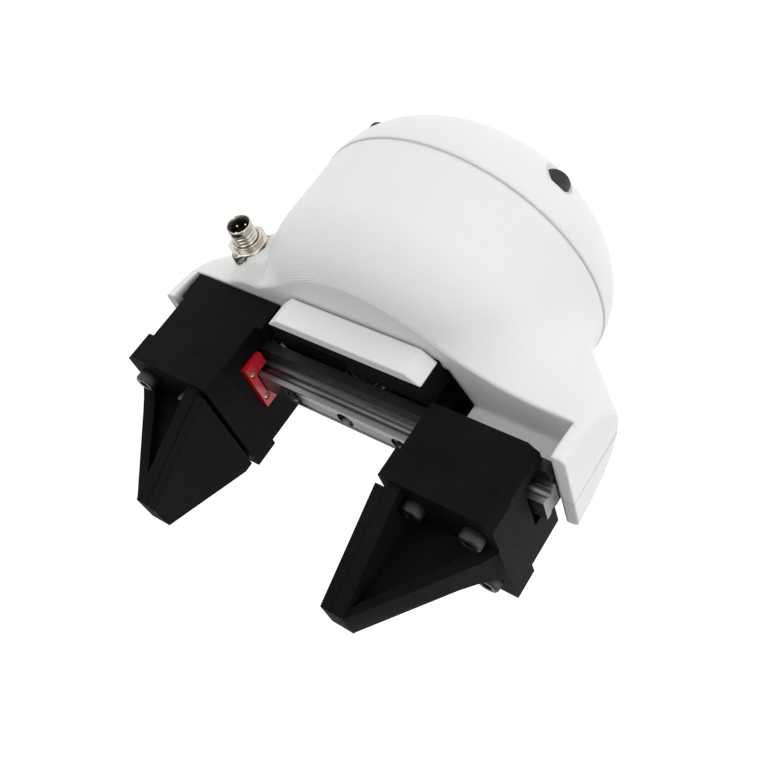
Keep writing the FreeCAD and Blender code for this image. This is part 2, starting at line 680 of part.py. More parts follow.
def stator_coils(low):
    """One copper coil on each arm of the core."""
    coils = []
    for i in range(12):
        block = Part.makeBox(8.6, 5.4, 15.4, V(14.0, -2.7, -1.2))
        block = block.cut(Part.makeBox(12, 3.02, 13.02, V(12, -1.51, -0.01)))
        block.rotate(V(), V(0, 0, 1), 30 * i)
        coil = solid("coil_%d" % (i + 1), block)
        place(coil, (0, 0, low))
        coils.append(coil)
    return coils


def make_electronics():
    """Round controller board on four standoffs behind the motor, with its components."""
    board_z = "rail_seat - 60.6"
    posts = ring_cyls("standoff", ring_places("board_screw_ring", 0, "rail_seat - 59"), 2.8, 40.5)
    holes = ring_cyls("board_hole", ring_places("board_screw_ring", 0, "rail_seat - 63"), 1.6, 6)
    screws = []
    for i, at in enumerate(ring_places("board_screw_ring", 0, board_z)):
        screws.append(cap_screw("board_screw_%d" % (i + 1), 1.5, 1.6, 2.75, 2.0, 1.4, at))
    blank = cyl("board_blank", "board_radius", 1.6, (0, 0, board_z))
    keep("controller_board", cut("controller_board_body", blank, *holes))
    keep("board_standoffs", group("standoff_set", posts))
    keep("board_screws", group("board_screw_set", screws))
    chips = [box("encoder_chip", (5, 5, 1.2), (-2.5, -2.5, "rail_seat - 59")),
             box("driver_chip", (7, 7, 1.2), (-17, 8, "rail_seat - 59")),
             box("logic_chip", (9, 9, 1.4), (8, -18, "rail_seat - 59")),
             box("bulk_capacitor", (8, 8, 7), (-20, -20, "rail_seat - 67.6")),
             box("plug_header", (12, 6, 6), (6, 12, "rail_seat - 66.6"))]
    keep("board_components", group("board_component_set", chips))


def make_connector():
    """Round four-pin connector: threaded barrel, panel nut, gasket, insert and pins."""
    x = "connector_x"
    z = "rail_seat - connector_depth"
    start = "connector_base"
    tail = start + " - barrel_inside"
    length = "barrel_inside + barrel_outside"
    outside = cyl("barrel_thread", "thread_radius", length, (x, tail, z), "y")
    groove_low = start + " + nut_thick + collar_thick"
    ring = cyl("relief_ring", "thread_radius + 1", "groove_width", (x, groove_low, z), "y")
    groove = cut("relief_groove", ring, cyl("relief_core", "groove_radius", 4, (x, groove_low + " - 1", z), "y"))
    keep("connector_barrel", cut("connector_barrel_body", outside, groove,
                                 cyl("barrel_bore", "barrel_bore_radius", 30, (x, start + " - 10", z), "y")))
    collar = cyl("panel_nut_collar", "collar_radius", "nut_thick + collar_thick", (x, start, z), "y")
    flats = hexagon("panel_nut_hex", "nut_radius", "nut_thick", (x, start, z), "y")
    nut = cut("panel_nut_body", fuse("panel_nut_solid", flats, collar),
              cyl("panel_nut_bore", "thread_radius", 8, (x, start + " - 1", z), "y"))
    keep("connector_nut", nut)
    gasket = cyl("gasket_disc", "gasket_radius", "gasket_thick", (x, start + " - gasket_thick", z), "y")
    keep("connector_gasket", cut("connector_gasket_body", gasket,
                                 cyl("gasket_bore", "thread_radius", 6, (x, start + " - 3", z), "y")))
    core = cyl("insert_core", "barrel_bore_radius", length + " - sleeve_recess", (x, tail, z), "y")
    cup = cyl("insert_cup", "barrel_bore_radius - sleeve_wall", 10,
              (x, start + " + barrel_outside - cup_depth", z), "y")
    insert = cut("insert_sleeve", core, cup)
    pins = []
    holes = []
    for i in range(4):
        angle = math.radians(12 + 90 * i)
        across = " + %.4f*pin_ring" % math.cos(angle)
        up = " + %.4f*pin_ring" % math.sin(angle)
        at = (x + across, tail + " - 1", z + up)
        pins.append(cyl("pin_%d" % (i + 1), "pin_radius", length + " - pin_recess + 1", at, "y"))
        holes.append(cyl("pin_hole_%d" % (i + 1), "pin_radius", 40, at, "y"))
    keep("connector_insert", cut("connector_insert_body", insert, *holes))
    keep("connector_pins", group("connector_pin_set", pins))


# ---------------------------------------------------------------- jaws and fingers
class Side:
    """One jaw: maps distances measured outward from its inner face to the row's X and Y."""

    def __init__(self, name, inner, way):
        self.name = name
        self.inner = inner
        self.way = way      # +1 for the right jaw, whose outward direction is +X

    def box(self, name, out, across, up):
        """A box from ranges: outward from the inner face, along Y, and above the rail seat."""
        low_x = self.inner + " + %.4f" % out[0] if self.way > 0 else self.inner + " - %.4f" % out[1]
        low_z = "rail_seat + %.4f" % up[0] if up[0] >= 0 else "rail_seat - %.4f" % -up[0]
        size = (out[1] - out[0], across[1] - across[0], up[1] - up[0])
        return box("%s_%s" % (self.name, name), size, (low_x, across[0], low_z))

    def x(self, out):
        """The X expression of a distance outward from the inner face."""
        if self.way * out >= 0:
            return self.inner + " + %.4f" % abs(out)
        return self.inner + " - %.4f" % abs(out)

    def arm(self, low, high):
        """A Y range on the arm's own side: the left rack is above the pinion, the right one below."""
        return (low, high) if self.way < 0 else (-high, -low)


SIDES = (Side("left", "left_inner", -1), Side("right", "right_inner", 1))


def chamfered(name, base, radius):
    """Chamfer the outer edges that run along Z, on the side away from the other jaw."""
    doc.recompute()
    shape = base.Shape
    middle = shape.BoundBox.Center.x
    reach = shape.BoundBox.XMax if middle > 0 else shape.BoundBox.XMin
    top = shape.BoundBox.YMax
    found = []
    for i, edge in enumerate(shape.Edges):
        point = edge.CenterOfMass
        upright = abs(edge.tangentAt(edge.FirstParameter).z) > 0.99
        if upright and abs(point.x - reach) < 0.01 and abs(point.y - top) < 0.01:
            found.append(i + 1)
    made = doc.addObject("Part::Chamfer", name)
    made.Base = base
    made.Edges = [(i, radius, radius) for i in found]
    return made


def make_jaw(side):
    """Black jaw block on its carriage, with the arm that carries the rack."""
    s = side
    top = num("jaw_top")
    low = -num("jaw_low")
    block = s.box("jaw_block", (0, num("jaw_length")), (low, top), (-num("jaw_back"), num("jaw_rise")))
    block = chamfered(s.name + "_jaw_edge", block, num("jaw_chamfer"))
    half = num("channel_half")
    channel = s.box("channel", (-5, 28.0), (-half, half), (-20, num("carriage_top")))
    slot = s.box("slot", (27, 50), (-half, half), (-20, num("slot_rise")))
    arm = s.box("arm", (-2.4, 31.4), s.arm(num("rack_back"), top), (-12.0, -num("jaw_back")))
    body = fuse(s.name + "_jaw_mass", cut(s.name + "_jaw_shell", block, channel, slot), arm)
    holes = []
    for i, (out, y) in enumerate(jaw_screw_places()):
        holes.append(cyl("%s_jaw_screw_way_%d" % (s.name, i + 1), 1.6, 20, (s.x(out), y, "rail_seat + 5")))
        holes.append(cyl("%s_jaw_sink_%d" % (s.name, i + 1), 2.9, 10, (s.x(out), y, "rail_seat + 11.8")))
    for i, (out, y) in enumerate(finger_holes()):
        holes.append(cyl("%s_finger_tap_%d" % (s.name, i + 1), 1.6, 12, (s.x(out), y, "rail_seat + 10.6")))
    keep(s.name + "_jaw", cut(s.name + "_jaw_body", body, *holes))


def carriage_holes():
    """The carriage's four tapped holes: 10 mm along the rail by 15 mm across."""
    middle = 12.95
    return [(middle + a, b) for a in (-5.0, 5.0) for b in (-7.5, 7.5)]


def finger_holes():
    """The finger's four screws."""
    return [(a, b) for a in (9.0, 27.5) for b in (9.5, -17.3)]


def jaw_screw_places():
    """The carriage holes that hold the jaw; the one that lies under a finger screw stays empty."""
    apart = 4.6
    return [hole for hole in carriage_holes()
            if min(math.dist(hole, other) for other in finger_holes()) > apart]


def make_rack(side):
    """The rack under a jaw's arm, in mesh with the pinion at rest."""
    s = side
    module = num("gear_module")
    depth = num("rack_back") - num("pitch_radius")
    tip = num("rack_tip")
    inner = num(s.inner)
    if s.way < 0:
        shape = rack_shape(inner - 28, inner + tip, module, depth, num("rack_face"), 0.0)
    else:
        shape = rack_shape(-inner - 28, -inner + tip, module, depth, num("rack_face"), 0.0)
        shape.rotate(V(), V(0, 0, 1), 180)
    rack = solid(s.name + "_rack_body", shape)
    place(rack, (0, "pitch_radius" if s.way < 0 else "-pitch_radius", "rail_seat - rack_front - rack_face"))
    keep(s.name + "_rack", rack)


def make_carriage(side):
    """Steel carriage block with red end caps and their small screws."""
    s = side
    block = s.box("carriage_block", (3.0, 22.9), (-10, 10), (2.0, num("carriage_top")))
    rail_way = s.box("carriage_way", (-5, 40), (-4.8, 4.8), (0, num("rail_height") + 0.3))
    holes = []
    for i, (out, y) in enumerate(carriage_holes()):
        holes.append(cyl("%s_carriage_tap_%d" % (s.name, i + 1), 1.5, 6, (s.x(out), y, "rail_seat + 7")))
    keep(s.name + "_carriage", cut(s.name + "_carriage_body", block, rail_way, *holes))
    caps = []
    screws = []
    for i, (start, end, face) in enumerate(((-1.5, 3.0, -1.5), (22.9, 27.4, 27.4))):
        cap = s.box("end_cap_%d" % (i + 1), (start, end), (-9.8, 9.8), (1.6, 9.5))
        way = s.box("end_cap_way_%d" % (i + 1), (-5, 40), (-4.8, 4.8), (0, num("rail_height") + 0.3))
        sinks = []
        for j, y in enumerate((-6.0, 6.0)):
            x = s.x(face)
            inward = (s.way > 0) == (i == 0)
            at_x = x if inward else x + " - 1.2"
            tag = "%s_cap_%d_%d" % (s.name, i + 1, j + 1)
            sinks.append(cyl(tag + "_sink", 1.35, 1.2, (at_x, y, "rail_seat + 7.6"), "x"))
            screw = cyl(tag + "_screw_head", 1.35, 1.2, (at_x, y, "rail_seat + 7.6"), "x")
            screws.append(screw)
        caps.append(cut("%s_cap_%d_body" % (s.name, i + 1), cap, way, *sinks))
    keep(s.name + "_end_caps", group(s.name + "_cap_set", caps))
    keep(s.name + "_cap_screws", group(s.name + "_cap_screw_set", screws))
    bolts = []
    for i, (out, y) in enumerate(jaw_screw_places()):
        bolts.append(cap_screw("%s_jaw_screw_%d" % (s.name, i + 1), 1.5, 4.4, 2.75, 2.2, 1.4,
                               (s.x(out), y, "rail_seat + 11.8"), "up"))
    keep(s.name + "_jaw_screws", group(s.name + "_jaw_screw_set", bolts))


def make_finger(side):
    """Black finger: collar, tapered gripping plate, sloped outer wall and a middle web."""
    s = side
    rise = num("jaw_rise")
    deck = rise + num("collar_rise")
    tip = num("finger_rise")
    collar = s.box("collar", (-0.7, num("jaw_length") + 1), (-26.3, 18.7), (rise, deck))
    collar = chamfered(s.name + "_collar_edge", collar, num("jaw_chamfer"))
    inner = num("pad_thick") - num("pad_proud")
    outer = inner + num("plate_thick")
    base = num("rail_seat")
    plate = [(-23.4, base + deck - 1), (17.2, base + deck - 1), (17.2, base + deck + 1.5), (4.0, base + tip),
             (-6.8, base + tip), (-22.4, base + deck + 5)]
    middle = num(s.inner) + s.way * (inner + outer) / 2
    gripping = polygon_pad(s.name + "_plate", "YZ_Plane", plate, "plate_thick", True, middle)
    x_plate = num(s.inner) + s.way * (inner + 0.5)
    x_foot = num(s.inner) + s.way * (num("jaw_length") + 1)
    x_tip = num(s.inner) + s.way * outer
    wall = [(x_foot, base + deck - 1), (x_foot, base + deck + 0.5), (x_tip, base + tip),
            (x_plate, base + tip), (x_tip, base + tip - 4.2), (x_foot - s.way * 4.4, base + deck - 1)]
    slab = polygon_pad(s.name + "_wall_slab", "XZ_Plane", wall, 20.0, True, 4.0)
    flare = [(-13.4, base + deck - 1), (5.3, base + deck - 1), (5.3, base + deck), (4.3, base + deck + 2.5),
             (3.7, base + deck + 5.5), (3.5, base + deck + 9), (3.5, base + tip), (-6.4, base + tip),
             (-6.4, base + deck + 11), (-7.2, base + deck + 7), (-9.2, base + deck + 3), (-13.4, base + deck)]
    outline = polygon_pad(s.name + "_wall_outline", "YZ_Plane", flare, 60.0, True, num(s.inner) + s.way * 16)
    outside = common(s.name + "_outer_wall", slab, outline)
    web = [(x_foot - s.way * 2, base + deck - 1), (x_tip, base + tip - 2), (x_plate, base + tip - 2),
           (x_plate, base + deck - 1)]
    middle_web = polygon_pad(s.name + "_web", "XZ_Plane", web, 3.0, True, 1.45)
    holes = []
    for i, (out, y) in enumerate(finger_holes()):
        holes.append(cyl("%s_finger_way_%d" % (s.name, i + 1), 2.2, 30, (s.x(out), y, "rail_seat + 10")))
        seat = (s.x(out), y, "rail_seat + jaw_rise + collar_rise")
        holes.append(cyl("%s_head_room_%d" % (s.name, i + 1), 3.7, 4.2, seat))
    mass = fuse(s.name + "_finger_mass", collar, gripping, outside, middle_web)
    keep(s.name + "_finger", cut(s.name + "_finger_body", mass, *holes))
    pad = [(-22.2, base + deck + 1.5), (17.0, base + deck + 1.5), (4.0, base + tip), (-6.8, base + tip),
           (-22.2, base + deck + 5)]
    x_pad = num(s.inner) + s.way * (inner - num("pad_proud")) / 2
    keep(s.name + "_pad", polygon_pad(s.name + "_pad_body", "YZ_Plane", pad, "pad_thick", True, x_pad))
    bolts = []
    for i, (out, y) in enumerate(finger_holes()):
        bolts.append(cap_screw("%s_finger_screw_%d" % (s.name, i + 1), 1.6, 12.4, 3.5, 3.6, 1.8,
                               (s.x(out), y, "rail_seat + jaw_rise + collar_rise"), "up"))
    keep(s.name + "_finger_screws", group(s.name + "_finger_screw_set", bolts))


# ---------------------------------------------------------------- build, check and write
def check_and_write():
    """Refuse failed objects and bad shapes, then write every piece to its own file."""
    doc.recompute()
    failed = [o.Name for o in doc.Objects if "Invalid" in o.State or "Error" in o.State]
    if failed:
        raise RuntimeError("failed objects: " + ", ".join(failed))
    os.makedirs("parts", exist_ok=True)
    for piece in pieces:
        shape = piece.Shape
        if shape.isNull() or not shape.isValid() or not shape.Solids:
            raise RuntimeError("bad shape: " + piece.Label)
    for piece in pieces:
        piece.Shape.exportStep(os.path.join("parts", piece.Label + ".step"))
        print(piece.Label, len(piece.Shape.Solids), round(piece.Shape.Volume))


def main():
    """Make every piece of the gripper."""
    fill_sheet()
    make_housing()
    make_rear_cap()
    make_flange()
    make_cap_screws()
    make_nose()
    make_frame()
    make_rail()
    make_drive()
    make_electronics()
    make_connector()
    for side in SIDES:
        make_jaw(side)
        make_rack(side)
        make_carriage(side)
        make_finger(side)
    check_and_write()


main()
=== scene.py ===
import json
import math

import bmesh
import bpy
from mathutils import Matrix, Vector


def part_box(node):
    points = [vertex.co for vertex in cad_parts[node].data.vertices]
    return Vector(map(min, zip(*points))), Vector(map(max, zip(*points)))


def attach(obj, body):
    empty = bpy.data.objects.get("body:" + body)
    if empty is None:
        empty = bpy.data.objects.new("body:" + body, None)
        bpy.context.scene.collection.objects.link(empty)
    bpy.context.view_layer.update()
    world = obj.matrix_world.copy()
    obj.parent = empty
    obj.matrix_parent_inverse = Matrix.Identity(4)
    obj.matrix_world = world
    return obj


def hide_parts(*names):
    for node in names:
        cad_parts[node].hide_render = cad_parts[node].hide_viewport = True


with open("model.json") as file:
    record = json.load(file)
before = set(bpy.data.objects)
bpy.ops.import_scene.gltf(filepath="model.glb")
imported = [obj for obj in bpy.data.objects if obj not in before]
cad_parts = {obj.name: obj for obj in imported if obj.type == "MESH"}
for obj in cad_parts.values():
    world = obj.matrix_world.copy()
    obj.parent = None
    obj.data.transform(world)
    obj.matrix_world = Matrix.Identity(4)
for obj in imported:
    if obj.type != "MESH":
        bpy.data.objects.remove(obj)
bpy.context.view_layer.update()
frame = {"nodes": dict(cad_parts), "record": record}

MM = 0.001
SIDES = ("left", "right")
BODY_OF = {node: body for body, nodes in frame["record"]["behaviour"]["bodies"].items() for node in nodes}
SLOT_OF = {part["node"]: part["material_slot"] for part in frame["record"]["subparts"]}
FULL_TURN = 2 * math.pi
ROUND_COUNT = 72        # points around a screw head, the nut and the gasket


# ---------------------------------------------------------------- places read from the frame
def middle(node):
    """Middle of a node's box."""
    low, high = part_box(node)
    return (low + high) / 2


def solids_of(node):
    """Boxes of the separate solids inside one CAD node, as pairs of lowest and highest corner."""
    shape = bmesh.new()
    shape.from_mesh(frame["nodes"][node].data)
    bmesh.ops.remove_doubles(shape, verts=shape.verts, dist=1e-6)
    waiting = set(shape.verts)
    found = []
    while waiting:
        stack = [waiting.pop()]
        members = []
        while stack:
            vert = stack.pop()
            members.append(vert.co.copy())
            for edge in vert.link_edges:
                other = edge.other_vert(vert)
                if other in waiting:
                    waiting.remove(other)
                    stack.append(other)
        low = Vector([min(c[i] for c in members) for i in range(3)])
        high = Vector([max(c[i] for c in members) for i in range(3)])
        found.append((low, high))
    shape.free()
    return found


# ---------------------------------------------------------------- material building blocks
class Looks:
    """One node material with short helpers for its texture network."""

    def __init__(self, name):
        self.material = bpy.data.materials.new(name)
        self.material.use_nodes = True
        self.tree = self.material.node_tree
        self.shader = self.tree.nodes["Principled BSDF"]
        self.place = self.add("ShaderNodeTexCoord").outputs["Object"]

    def add(self, kind, **settings):
        node = self.tree.nodes.new(kind)
        for name, value in settings.items():
            setattr(node, name, value)
        return node

    def link(self, source, target):
        self.tree.links.new(source, target)

    def scaled(self, x, y, z):
        """The object's coordinates stretched along each axis."""
        mapping = self.add("ShaderNodeMapping")
        mapping.inputs["Scale"].default_value = (x, y, z)
        self.link(self.place, mapping.inputs["Vector"])
        return mapping.outputs["Vector"]

    def noise(self, scale, detail=3.0, rough=0.55, where=None):
        node = self.add("ShaderNodeTexNoise")
        node.inputs["Scale"].default_value = scale
        node.inputs["Detail"].default_value = detail
        node.inputs["Roughness"].default_value = rough
        self.link(where or self.place, node.inputs["Vector"])
        return node.outputs["Fac"]

    def spots(self, scale, where=None):
        """Distance to the nearest of many scattered points."""
        node = self.add("ShaderNodeTexVoronoi")
        node.inputs["Scale"].default_value = scale
        self.link(where or self.place, node.inputs["Vector"])
        return node.outputs["Distance"]

    def maths(self, operation, one, two=0.5):
        node = self.add("ShaderNodeMath", operation=operation)
        for socket, value in zip(node.inputs, (one, two)):
            if isinstance(value, (int, float)):
                socket.default_value = value
            else:
                self.link(value, socket)
        return node.outputs[0]

    def between(self, source, low, high, start=0.0, end=1.0):
        """source brought from low..high to start..end."""
        node = self.add("ShaderNodeMapRange")
        for name, value in (("From Min", low), ("From Max", high), ("To Min", start), ("To Max", end)):
            node.inputs[name].default_value = value
        self.link(source, node.inputs["Value"])
        return node.outputs["Result"]

    def ramp(self, source, *stops):
        node = self.add("ShaderNodeValToRGB")
        marks = node.color_ramp.elements
        while len(marks) < len(stops):
            marks.new(0.5)
        for mark, (place, colour) in zip(marks, stops):
            mark.position = place
            mark.color = (*colour, 1.0)
        self.link(source, node.inputs["Fac"])
        return node.outputs["Color"]

    def tint(self, base, source, colour):
        """base where source is 0, colour where it is 1."""
        node = self.add("ShaderNodeMix", data_type="RGBA")
        self.link(source, node.inputs["Factor"])
        self.link(base, node.inputs["A"])
        node.inputs["B"].default_value = (*colour, 1.0)
        return node.outputs["Result"]

    def axis(self, name):
        """One coordinate in millimetres."""
        split = self.add("ShaderNodeSeparateXYZ")
        self.link(self.place, split.inputs[0])
        return self.maths("MULTIPLY", split.outputs[name], 1000.0)

    def colour(self, value):
        socket = self.shader.inputs["Base Color"]
        if isinstance(value, tuple):
            socket.default_value = (*value, 1.0)
        else:
            self.link(value, socket)

    def rough(self, value):
        socket = self.shader.inputs["Roughness"]
        if isinstance(value, (int, float)):
            socket.default_value = value
        else:
            self.link(value, socket)

    def bump(self, height, depth, strength=1.0, after=None):
        """A bump of that depth in metres, on top of an earlier one."""
        node = self.add("ShaderNodeBump")
        node.inputs["Distance"].default_value = depth
        node.inputs["Strength"].default_value = strength
        self.link(height, node.inputs["Height"])
        if after:
            self.link(after, node.inputs["Normal"])
        self.link(node.outputs["Normal"], self.shader.inputs["Normal"])
        return node.outputs["Normal"]

    def settings(self, **values):
        for name, value in values.items():
            self.shader.inputs[name.replace("_", " ")].default_value = value
        return self.material


def layered(looks, layer, depth, wobble=0.25, after=None):
    """Print layers stacked along Z: a terrace for each layer, with slightly uneven edges."""
    drift = looks.maths("MULTIPLY", looks.noise(90, 2), wobble)
    height = looks.maths("ADD", looks.maths("DIVIDE", looks.axis("Z"), layer), drift)
    step = looks.maths("PINGPONG", height, 0.5)
    return looks.bump(step, depth, after=after)


def terraces(looks, layer, depth, after):
    """Wider stairs of the print layers, only where a surface lies nearly level."""
    lie = looks.add("ShaderNodeSeparateXYZ")
    looks.link(looks.add("ShaderNodeNewGeometry").outputs["True Normal"], lie.inputs[0])
    level = looks.between(lie.outputs["Z"], 0.55, 0.85)
    sharp = looks.between(lie.outputs["Z"], 0.985, 0.999, 1.0, 0.0)
    drift = looks.maths("MULTIPLY", looks.noise(70, 3), 0.5)
    height = looks.maths("ADD", looks.maths("DIVIDE", looks.axis("Z"), layer), drift)
    stair = looks.between(looks.maths("PINGPONG", height, 0.5), 0.0, 0.5)
    weight = looks.maths("MULTIPLY", level, sharp)
    return looks.bump(looks.maths("MULTIPLY", stair, weight), depth, 0.8, after)


# ---------------------------------------------------------------- materials
HOUSING_ROUND = 2.4     # radii of the printed corners, in millimetres
NOSE_ROUND = 0.3
WING_END_ROUND = 1.3


def white_print():
    """White printed plastic: cloudy tone, print layers and corners rounded by the nozzle."""
    looks = Looks("white_print")
    clouds = looks.noise(14, 4)
    base = looks.ramp(clouds, (0.30, (0.725, 0.725, 0.716)), (0.70, (0.765, 0.765, 0.757)))
    streaks = looks.noise(60, 3, where=looks.scaled(1, 1, 18))
    base = looks.tint(base, looks.between(streaks, 0.56, 0.80, 0.0, 0.22), (0.66, 0.66, 0.655))
    looks.colour(base)
    looks.rough(looks.between(looks.noise(500, 3), 0.3, 0.7, 0.50, 0.64))
    rounded = looks.add("ShaderNodeBevel", samples=8)
    behind_wall = looks.between(looks.axis("Z"), 75.2, 76.2, HOUSING_ROUND * MM, NOSE_ROUND * MM)
    wing_ends = looks.between(looks.maths("ABSOLUTE", looks.axis("X")), 58, 62, 0.0, WING_END_ROUND * MM)
    looks.link(looks.maths("MAXIMUM", behind_wall, wing_ends), rounded.inputs["Radius"])
    first = layered(looks, 0.2, 0.00006, after=rounded.outputs["Normal"])
    second = terraces(looks, 0.3, 0.00022, first)
    looks.bump(looks.noise(2600, 2), 0.00001, 0.6, second)
    return looks.settings(Specular_IOR_Level=0.4)


def black_print():
    """Matt black printed plastic with print layers and a little light dust."""
    looks = Looks("black_print")
    clouds = looks.noise(45, 4)
    base = looks.ramp(clouds, (0.30, (0.0034, 0.0034, 0.0038)), (0.72, (0.0066, 0.0064, 0.0069)))
    specks = looks.between(looks.spots(420), 0.035, 0.055, 1.0, 0.0)
    sparse = looks.between(looks.noise(160, 2), 0.60, 0.68)
    base = looks.tint(base, looks.maths("MULTIPLY", specks, sparse), (0.22, 0.22, 0.21))
    looks.colour(base)
    looks.rough(looks.between(looks.noise(900, 4), 0.25, 0.75, 0.58, 0.74))
    first = layered(looks, 0.2, 0.00005)
    looks.bump(looks.noise(1700, 4, 0.65), 0.00005, 0.55, first)
    return looks.settings(Specular_IOR_Level=0.06)


def ground_steel(name, light, dark, rough):
    """Steel ground along X."""
    looks = Looks(name)
    along = looks.scaled(12, 900, 900)
    lines = looks.noise(1.0, 5, 0.65, along)
    clouds = looks.noise(30, 3)
    mixed = looks.maths("ADD", looks.maths("MULTIPLY", lines, 0.7), looks.maths("MULTIPLY", clouds, 0.3))
    looks.colour(looks.ramp(mixed, (0.32, dark), (0.66, light)))
    looks.rough(looks.between(lines, 0.3, 0.7, rough - 0.06, rough + 0.08))
    looks.bump(lines, 0.000012, 0.5)
    return looks.settings(Metallic=1.0)


def cast_paint(name, light, dark, rough):
    """Satin paint or oxide over metal, with a fine orange peel."""
    looks = Looks(name)
    clouds = looks.noise(60, 4)
    base = looks.ramp(clouds, (0.3, dark), (0.7, light))
    edge = looks.between(looks.noise(800, 5, 0.7), 0.62, 0.78)
    looks.colour(looks.tint(base, edge, tuple(min(1.0, c * 1.7) for c in light)))
    looks.rough(looks.between(looks.noise(350, 3), 0.3, 0.7, rough - 0.07, rough + 0.08))
    looks.bump(looks.noise(1300, 3), 0.00002, 0.5)
    return looks


def oxide_screw():
    """Black oxide on the socket screws."""
    looks = cast_paint("black_screw", (0.060, 0.056, 0.054), (0.026, 0.025, 0.025), 0.36)
    return looks.settings(Metallic=0.85)


def bright_metal(name, light, dark, rough, turned=900):
    """Plated or turned metal with faint rings and cloudy tone."""
    looks = Looks(name)
    rings = looks.noise(1.0, 3, 0.6, looks.scaled(160, turned, 160))
    clouds = looks.noise(220, 4)
    mixed = looks.maths("ADD", looks.maths("MULTIPLY", rings, 0.5), looks.maths("MULTIPLY", clouds, 0.5))
    looks.colour(looks.ramp(mixed, (0.32, dark), (0.66, light)))
    looks.rough(looks.between(clouds, 0.3, 0.7, rough - 0.05, rough + 0.07))
    looks.bump(rings, 0.000008, 0.4)
    return looks.settings(Metallic=1.0)


def moulded(name, light, dark, rough, grain=1500, depth=0.00002):
    """Moulded plastic or rubber with a fine surface grain."""
    looks = Looks(name)
    looks.colour(looks.ramp(looks.noise(70, 4), (0.3, dark), (0.7, light)))
    looks.rough(looks.between(looks.noise(600, 3), 0.3, 0.7, rough - 0.06, rough + 0.07))
    looks.bump(looks.noise(grain, 3), depth, 0.6)
    return looks


def red_plastic():
    """Glossy moulded plastic of the carriages' end caps."""
    looks = moulded("red_plastic", (0.62, 0.010, 0.022), (0.50, 0.006, 0.014), 0.34)
    return looks.settings(Coat_Weight=0.25, Coat_Roughness=0.25)


def laminated_steel():
    """A stack of thin steel sheets."""
    looks = Looks("core_steel")
    sheets = looks.maths("PINGPONG", looks.maths("DIVIDE", looks.axis("Z"), 0.35), 0.5)
    clouds = looks.noise(200, 3)
    mixed = looks.maths("ADD", looks.maths("MULTIPLY", sheets, 0.8), looks.maths("MULTIPLY", clouds, 0.6))
    looks.colour(looks.ramp(mixed, (0.2, (0.11, 0.11, 0.115)), (0.75, (0.32, 0.32, 0.33))))
    looks.rough(looks.between(clouds, 0.3, 0.7, 0.38, 0.52))
    looks.bump(sheets, 0.00006, 0.8)
    return looks.settings(Metallic=0.9)


def wound_copper():
    """Enamelled copper wire, wound in level turns."""
    looks = Looks("copper")
    turns = looks.maths("PINGPONG", looks.maths("DIVIDE", looks.axis("Z"), 0.5), 0.5)
    clouds = looks.noise(300, 3)
    mixed = looks.maths("ADD", turns, looks.maths("MULTIPLY", clouds, 0.5))
    looks.colour(looks.ramp(mixed, (0.25, (0.28, 0.085, 0.030)), (0.75, (0.66, 0.25, 0.10))))
    looks.rough(looks.between(clouds, 0.3, 0.7, 0.26, 0.38))
    looks.bump(turns, 0.00018, 0.9)
    return looks.settings(Metallic=0.9)


def board_mask():
    """Green solder mask over rectangular copper areas."""
    looks = Looks("circuit_board")
    tracks = looks.add("ShaderNodeTexBrick", offset=0.3, squash=1.6)
    looks.link(looks.scaled(260, 260, 260), tracks.inputs["Vector"])
    tracks.inputs["Color1"].default_value = (0.012, 0.085, 0.040, 1)
    tracks.inputs["Color2"].default_value = (0.016, 0.105, 0.050, 1)
    tracks.inputs["Mortar"].default_value = (0.030, 0.170, 0.085, 1)
    tracks.inputs["Mortar Size"].default_value = 0.03
    looks.colour(tracks.outputs["Color"])
    looks.rough(looks.between(looks.noise(400, 3), 0.3, 0.7, 0.24, 0.34))
    looks.bump(tracks.outputs["Fac"], 0.00003, 0.6)
    return looks.settings(Coat_Weight=0.3, Coat_Roughness=0.15)


